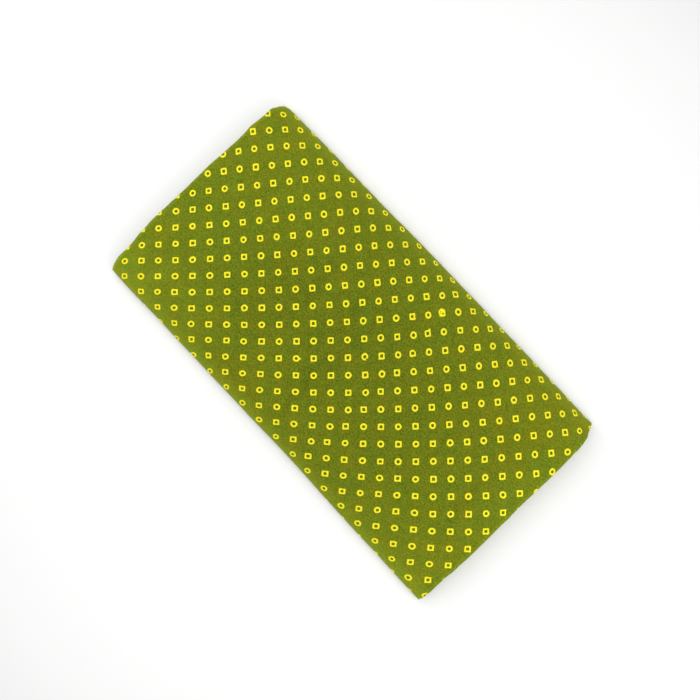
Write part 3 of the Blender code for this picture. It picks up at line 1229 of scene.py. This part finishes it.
def thread_tree():
    """Geometry Nodes that grow short bent threads out of a mesh's faces."""
    tree = bpy.data.node_groups.new("Loose threads", "GeometryNodeTree")
    kinds = {"Geometry": "Geometry"} | dict.fromkeys(THREAD_SIZES, "Float")
    for name, kind in (kinds | {"Seed": "Int", "Material": "Material"}).items():
        tree.interface.new_socket(name, in_out="INPUT", socket_type="NodeSocket" + kind)
    tree.interface.new_socket("Geometry", in_out="OUTPUT", socket_type="NodeSocketGeometry")
    nodes = Nodes(tree)
    given = nodes.add("NodeGroupInput").outputs
    points = nodes.add("GeometryNodeDistributePointsOnFaces", {
        "Mesh": given["Geometry"],
        "Density": given["Density"],
        "Seed": given["Seed"],
    }).outputs
    lengths = {2: given["Shortest"], 3: given["Longest"], "Seed": given["Seed"]}
    length = nodes.add("FunctionNodeRandomValue", lengths, data_type="FLOAT").outputs[1]
    least = nodes.math("MULTIPLY", given["Tilt"], -1.0)
    lean = nodes.add("FunctionNodeRandomValue", data_type="FLOAT_VECTOR", inputs={
        0: nodes.vector(least, least, 0.0),
        1: nodes.vector(given["Tilt"], given["Tilt"], math.tau),
        "Seed": given["Seed"],
    }).outputs[0]
    turns = {"Rotation": points["Rotation"], "Rotate By": lean}
    turn = nodes.add("FunctionNodeRotateRotation", turns, rotation_space="LOCAL").outputs["Rotation"]
    threads = nodes.add("GeometryNodeInstanceOnPoints", {
        "Points": points["Points"],
        "Instance": bent_thread(nodes, given["Radius"]),
        "Rotation": turn,
        "Scale": nodes.vector(1.0, 1.0, length),
    }).outputs["Instances"]
    real = nodes.add("GeometryNodeRealizeInstances", {"Geometry": threads}).outputs["Geometry"]
    x, y, z = nodes.split(nodes.add("GeometryNodeInputPosition").outputs[0])
    raised = nodes.vector(x, y, nodes.math("MAXIMUM", z, given["Radius"]))
    lying = nodes.add("GeometryNodeSetPosition", {"Geometry": real, "Position": raised})
    dyed = nodes.add("GeometryNodeSetMaterial", {
        "Geometry": lying.outputs["Geometry"],
        "Material": given["Material"],
    })
    nodes.add("NodeGroupOutput", {"Geometry": dyed.outputs["Geometry"]})
    return tree


def thread_material(look):
    """The threads' own plain colour, in paler and darker patches."""
    material, nodes = new_material("Loose threads")
    place = nodes.add("ShaderNodeTexCoord").outputs["Object"]
    patches = nodes.ramp(nodes.noise(place, THREAD_PATCH), *THREAD_PATCH_SPAN)
    pale = Vector(look.ground).lerp(Vector(look.ink), THREAD_PALER)
    colour = nodes.mixed(patches, rgba(look.ground), rgba(pale))
    nodes.shade({"Base Color": colour, "Roughness": THREAD_ROUGHNESS})
    return material


def grown_threads(strips, fray, look):
    """The loose threads as a plain mesh, grown from the cut ends."""
    base = show(strips, "cut_ends")
    modifier = base.modifiers.new("Loose threads", "NODES")
    modifier.node_group = thread_tree()
    values = {name: getattr(fray, name.lower()) for name in THREAD_SIZES}
    values |= {"Seed": THREAD_SEED, "Material": thread_material(look)}
    for item in modifier.node_group.interface.items_tree:
        if item.in_out == "INPUT" and item.name in values:
            modifier[item.identifier] = values[item.name]
    shown = base.evaluated_get(bpy.context.evaluated_depsgraph_get())
    mesh = bpy.data.meshes.new_from_object(shown)
    bpy.data.objects.remove(base, do_unlink=True)
    return mesh


def studio_floor(stage):
    """A round pale floor, very slightly uneven in colour."""
    material, nodes = new_material("Studio floor")
    place = nodes.add("ShaderNodeTexCoord").outputs["Object"]
    clouds = nodes.noise(place, FLOOR_CLOUDS.size, FLOOR_CLOUDS.detail)
    value = nodes.math("MULTIPLY_ADD", clouds, FLOOR_CLOUDS.strength, 1.0)
    nodes.shade({
        "Base Color": nodes.scaled(tuple(stage.floor_colour), value),
        "Roughness": FLOOR_ROUGHNESS,
        "Specular IOR Level": FLOOR_SPECULAR,
    })
    bm = bmesh.new()
    bmesh.ops.create_circle(bm, cap_ends=True, segments=FLOOR_SEGMENTS, radius=FLOOR_RADIUS)
    mesh = bpy.data.meshes.new(FLOOR_PIECE)
    bm.to_mesh(mesh)
    bm.free()
    mesh.materials.append(material)
    return show(mesh, FLOOR_PIECE)


def soft_light(name, lamp, power, side=1):
    """An area light that faces the middle of the bundle, or with side -1 its twin across the bundle."""
    light = bpy.data.lights.new(name, "AREA")
    light.shape = "RECTANGLE"
    light.size, light.size_y = lamp.size
    light.energy = power * lamp.share
    source = bpy.data.objects.new(name, light)
    source.location = (side * lamp.place[0], side * lamp.place[1], lamp.place[2])
    source.rotation_euler = (AIM - source.location).to_track_quat("-Z", "Y").to_euler()
    source.visible_camera = False
    bpy.context.collection.objects.link(source)


def plain_sky(strength):
    """Even white light from all round."""
    world = bpy.data.worlds.new("Studio")
    world.use_nodes = True
    sky = world.node_tree.nodes["Background"].inputs
    sky["Color"].default_value = rgba((1.0, 1.0, 1.0))
    sky["Strength"].default_value = strength
    bpy.context.scene.world = world


def place_camera(lens):
    """The camera at the photo's angle."""
    data = bpy.data.cameras.new("Camera")
    data.lens = lens
    camera = bpy.data.objects.new("Camera", data)
    back = (CAMERA_PLACE - AIM).normalized()
    right = CAMERA_UP.cross(back).normalized()
    up = back.cross(right)
    turn = Matrix((right, up, back)).transposed()
    camera.matrix_world = Matrix.LocRotScale(CAMERA_PLACE, turn, None)
    bpy.context.collection.objects.link(camera)
    bpy.context.scene.camera = camera


class SARI_OT_fold_cloth(bpy.types.Operator):
    """Fold the printed sheet"""

    bl_idname = "sari.fold_cloth"
    bl_label = "Fold the cloth"

    def execute(self, context):
        look = context.scene.sari_print
        mesh = build_sheet(context.scene.sari_cloth)
        for side in SIDES:
            mesh.materials.append(cloth_material(side, look))
        piece = show(mesh, CLOTH_PIECE)
        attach(piece, "root")
        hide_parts(NODE)
        return {"FINISHED"}


class SARI_OT_fray_ends(bpy.types.Operator):
    """Grow loose threads out of the cut ends of the folded cloth"""

    bl_idname = "sari.fray_ends"
    bl_label = "Fray the ends"

    def execute(self, context):
        cloth = bpy.data.objects[CLOTH_PIECE]
        fray, look = context.scene.sari_fray, context.scene.sari_print
        threads = show(grown_threads(cut_end_strips(cloth.data), fray, look), THREAD_PIECE)
        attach(threads, "root")
        return {"FINISHED"}


class SARI_OT_set_stage(bpy.types.Operator):
    """Set the pale floor, the soft lights and the camera round the cloth"""

    bl_idname = "sari.set_stage"
    bl_label = "Set the stage"

    def execute(self, context):
        stage = context.scene.sari_stage
        studio_floor(stage)
        plain_sky(stage.sky_strength)
        soft_light("Top light", TOP_LAMP, stage.top_power)
        for side in (-1, 1):
            soft_light("End light", END_LAMP, stage.side_power, side)
            soft_light("Long side light", LONG_SIDE_LAMP, stage.side_power, side)
        place_camera(stage.lens)
        context.scene.view_settings.view_transform = "Standard"
        return {"FINISHED"}


class SARI_PT_panel(bpy.types.Panel):
    """The steps of making the folded sari, and their sizes"""

    bl_idname = "SARI_PT_panel"
    bl_label = "Folded sari"
    bl_space_type = "VIEW_3D"
    bl_region_type = "UI"
    bl_category = "Sari"

    def draw(self, context):
        for operator, groups in STEPS:
            self.layout.operator(operator)
            for name in groups:
                for setting in SETTINGS[name].__annotations__:
                    self.layout.prop(getattr(context.scene, name), setting)


# The steps in order, each with the groups of settings that it reads
STEPS = (
    ("sari.fold_cloth", ("sari_cloth", "sari_print")),
    ("sari.fray_ends", ("sari_fray",)),
    ("sari.set_stage", ("sari_stage",)),
)
SETTINGS = {
    "sari_cloth": ClothSettings,
    "sari_print": PrintSettings,
    "sari_fray": FraySettings,
    "sari_stage": StageSettings,
}
CLASSES = (*SETTINGS.values(), SARI_OT_fold_cloth, SARI_OT_fray_ends, SARI_OT_set_stage, SARI_PT_panel)


def register():
    """Add the settings, the steps and the panel to Blender."""
    for each in CLASSES:
        bpy.utils.register_class(each)
    for name, group in SETTINGS.items():
        setattr(bpy.types.Scene, name, bpy.props.PointerProperty(type=group))


def unregister():
    """Take them out again."""
    for name in SETTINGS:
        delattr(bpy.types.Scene, name)
    for each in reversed(CLASSES):
        bpy.utils.unregister_class(each)


def main():
    """Build everything."""
    register()
    bpy.ops.sari.fold_cloth()
    bpy.ops.sari.fray_ends()
    bpy.ops.sari.set_stage()


if __name__ == "__main__":
    main()
